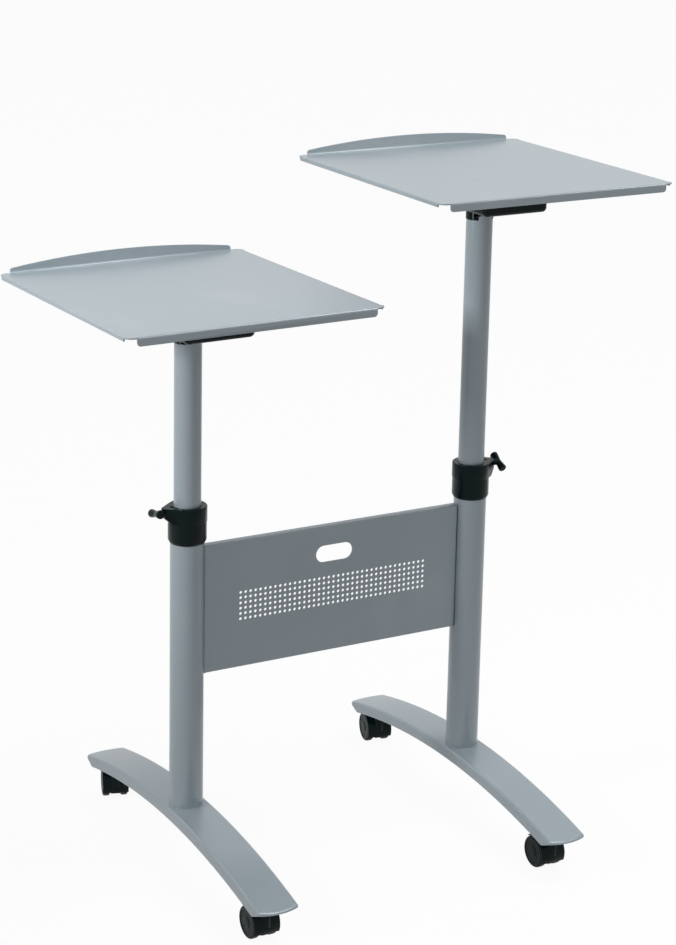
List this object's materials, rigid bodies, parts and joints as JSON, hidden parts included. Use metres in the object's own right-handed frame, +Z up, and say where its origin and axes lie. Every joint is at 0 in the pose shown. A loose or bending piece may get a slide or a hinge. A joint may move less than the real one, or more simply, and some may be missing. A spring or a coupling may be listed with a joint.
{
  "type": "projector cart",
  "caption": "Rolling projector cart: side-by-side telescoping columns on arched caster feet carry folded-sheet platforms, each set for height and tilt, over a perforated panel.",
  "frame": {"origin": "on the floor, midway between the columns", "axes": "+Z up; +X along the panel from the left column to the right one; -Y to the front, where the platforms' flanges are, +Y to the lips"},
  "size_m": [0.8878, 0.6052, 1.0435],
  "materials": {
    "silver_paint": "satin silver-grey powder coat",
    "black_plastic": "fine-grained black moulding",
    "wheel_plastic": "smooth black tread",
    "grey_plastic": "plain moulding",
    "black_steel": "blackened steel",
    "steel": "zinc-plated"
  },
  "bodies": {
    "frame": {"modesty_panel": "silver_paint", "left_foot": "silver_paint", "left_lower_tube": "silver_paint", "left_clamp_collar": "black_plastic", "left_front_caster_socket": "steel", "left_back_caster_socket": "steel", "right_foot": "silver_paint", "right_lower_tube": "silver_paint", "right_clamp_collar": "black_plastic", "right_front_caster_socket": "steel", "right_back_caster_socket": "steel"},
    "left_glide": {"left_tube_glide": "grey_plastic"},
    "left_mast": {"left_upper_tube": "silver_paint", "left_tilt_bolt": "black_steel"},
    "left_table": {"left_platform": "silver_paint", "left_tilt_bracket": "black_plastic", "left_tilt_lug": "silver_paint"},
    "left_knob": {"left_clamp_knob": "black_plastic"},
    "left_front_caster": {"left_front_caster_hood": "black_plastic", "left_front_caster_axle": "steel"},
    "left_front_caster_left_wheel": {"left_front_caster_left_wheel": "wheel_plastic"},
    "left_front_caster_right_wheel": {"left_front_caster_right_wheel": "wheel_plastic"},
    "left_back_caster": {"left_back_caster_hood": "black_plastic", "left_back_caster_axle": "steel"},
    "left_back_caster_left_wheel": {"left_back_caster_left_wheel": "wheel_plastic"},
    "left_back_caster_right_wheel": {"left_back_caster_right_wheel": "wheel_plastic"},
    "right_glide": {"right_tube_glide": "grey_plastic"},
    "right_mast": {"right_upper_tube": "silver_paint", "right_tilt_bolt": "black_steel"},
    "right_table": {"right_platform": "silver_paint", "right_tilt_bracket": "black_plastic", "right_tilt_lug": "silver_paint"},
    "right_knob": {"right_clamp_knob": "black_plastic"},
    "right_front_caster": {"right_front_caster_hood": "black_plastic", "right_front_caster_axle": "steel"},
    "right_front_caster_left_wheel": {"right_front_caster_left_wheel": "wheel_plastic"},
    "right_front_caster_right_wheel": {"right_front_caster_right_wheel": "wheel_plastic"},
    "right_back_caster": {"right_back_caster_hood": "black_plastic", "right_back_caster_axle": "steel"},
    "right_back_caster_left_wheel": {"right_back_caster_left_wheel": "wheel_plastic"},
    "right_back_caster_right_wheel": {"right_back_caster_right_wheel": "wheel_plastic"}
  },
  "joints": [
    {"name": "left_height", "type": "slide", "parent": "frame", "child": "left_glide", "axis": [0, 0, 1], "range_m": [-0.189, 0.186]},
    {"name": "left_swivel", "type": "hinge", "parent": "left_glide", "child": "left_mast", "pos_m": [-0.242, 0, 0.5], "axis": [0, 0, 1], "range_deg": [-90, 90]},
    {"name": "left_tilt", "type": "hinge", "parent": "left_mast", "child": "left_table", "pos_m": [-0.242, 0, 0.8215], "axis": [0.9996, 0.0297, 0], "range_deg": [-20, 20]},
    {"name": "left_clamp", "type": "hinge", "parent": "frame", "child": "left_knob", "pos_m": [-0.2808, 0, 0.562], "axis": [-1, 0, 0], "range_deg": [0, 360]},
    {"name": "left_front_caster_swivel", "type": "hinge", "parent": "frame", "child": "left_front_caster", "pos_m": [-0.242, -0.256, 0.0592], "axis": [0, 0, 1], "continuous": true},
    {"name": "left_front_caster_left_roll", "type": "hinge", "parent": "left_front_caster", "child": "left_front_caster_left_wheel", "pos_m": [-0.242, -0.236, 0.024], "axis": [1, 0, 0], "continuous": true},
    {"name": "left_front_caster_right_roll", "type": "hinge", "parent": "left_front_caster", "child": "left_front_caster_right_wheel", "pos_m": [-0.242, -0.236, 0.024], "axis": [1, 0, 0], "continuous": true},
    {"name": "left_back_caster_swivel", "type": "hinge", "parent": "frame", "child": "left_back_caster", "pos_m": [-0.242, 0.256, 0.0592], "axis": [0, 0, 1], "continuous": true},
    {"name": "left_back_caster_left_roll", "type": "hinge", "parent": "left_back_caster", "child": "left_back_caster_left_wheel", "pos_m": [-0.23549, 0.27491, 0.024], "axis": [0.9455, -0.3256, 0], "continuous": true},
    {"name": "left_back_caster_right_roll", "type": "hinge", "parent": "left_back_caster", "child": "left_back_caster_right_wheel", "pos_m": [-0.23549, 0.27491, 0.024], "axis": [0.9455, -0.3256, 0], "continuous": true},
    {"name": "right_height", "type": "slide", "parent": "frame", "child": "right_glide", "axis": [0, 0, 1], "range_m": [-0.327, 0.048]},
    {"name": "right_swivel", "type": "hinge", "parent": "right_glide", "child": "right_mast", "pos_m": [0.242, 0, 0.5], "axis": [0, 0, 1], "range_deg": [-90, 90]},
    {"name": "right_tilt", "type": "hinge", "parent": "right_mast", "child": "right_table", "pos_m": [0.242, 0, 0.9595], "axis": [1, 0, 0], "range_deg": [-20, 20]},
    {"name": "right_clamp", "type": "hinge", "parent": "frame", "child": "right_knob", "pos_m": [0.2808, 0, 0.562], "axis": [1, 0, 0], "range_deg": [0, 360]},
    {"name": "right_front_caster_swivel", "type": "hinge", "parent": "frame", "child": "right_front_caster", "pos_m": [0.242, -0.256, 0.0592], "axis": [0, 0, 1], "continuous": true},
    {"name": "right_front_caster_left_roll", "type": "hinge", "parent": "right_front_caster", "child": "right_front_caster_left_wheel", "pos_m": [0.242, -0.236, 0.024], "axis": [1, 0, 0], "continuous": true},
    {"name": "right_front_caster_right_roll", "type": "hinge", "parent": "right_front_caster", "child": "right_front_caster_right_wheel", "pos_m": [0.242, -0.236, 0.024], "axis": [1, 0, 0], "continuous": true},
    {"name": "right_back_caster_swivel", "type": "hinge", "parent": "frame", "child": "right_back_caster", "pos_m": [0.242, 0.256, 0.0592], "axis": [0, 0, 1], "continuous": true},
    {"name": "right_back_caster_left_roll", "type": "hinge", "parent": "right_back_caster", "child": "right_back_caster_left_wheel", "pos_m": [0.24547, 0.2757, 0.024], "axis": [0.9848, -0.1736, 0], "continuous": true},
    {"name": "right_back_caster_right_roll", "type": "hinge", "parent": "right_back_caster", "child": "right_back_caster_right_wheel", "pos_m": [0.24547, 0.2757, 0.024], "axis": [0.9848, -0.1736, 0], "continuous": true}
  ]
}
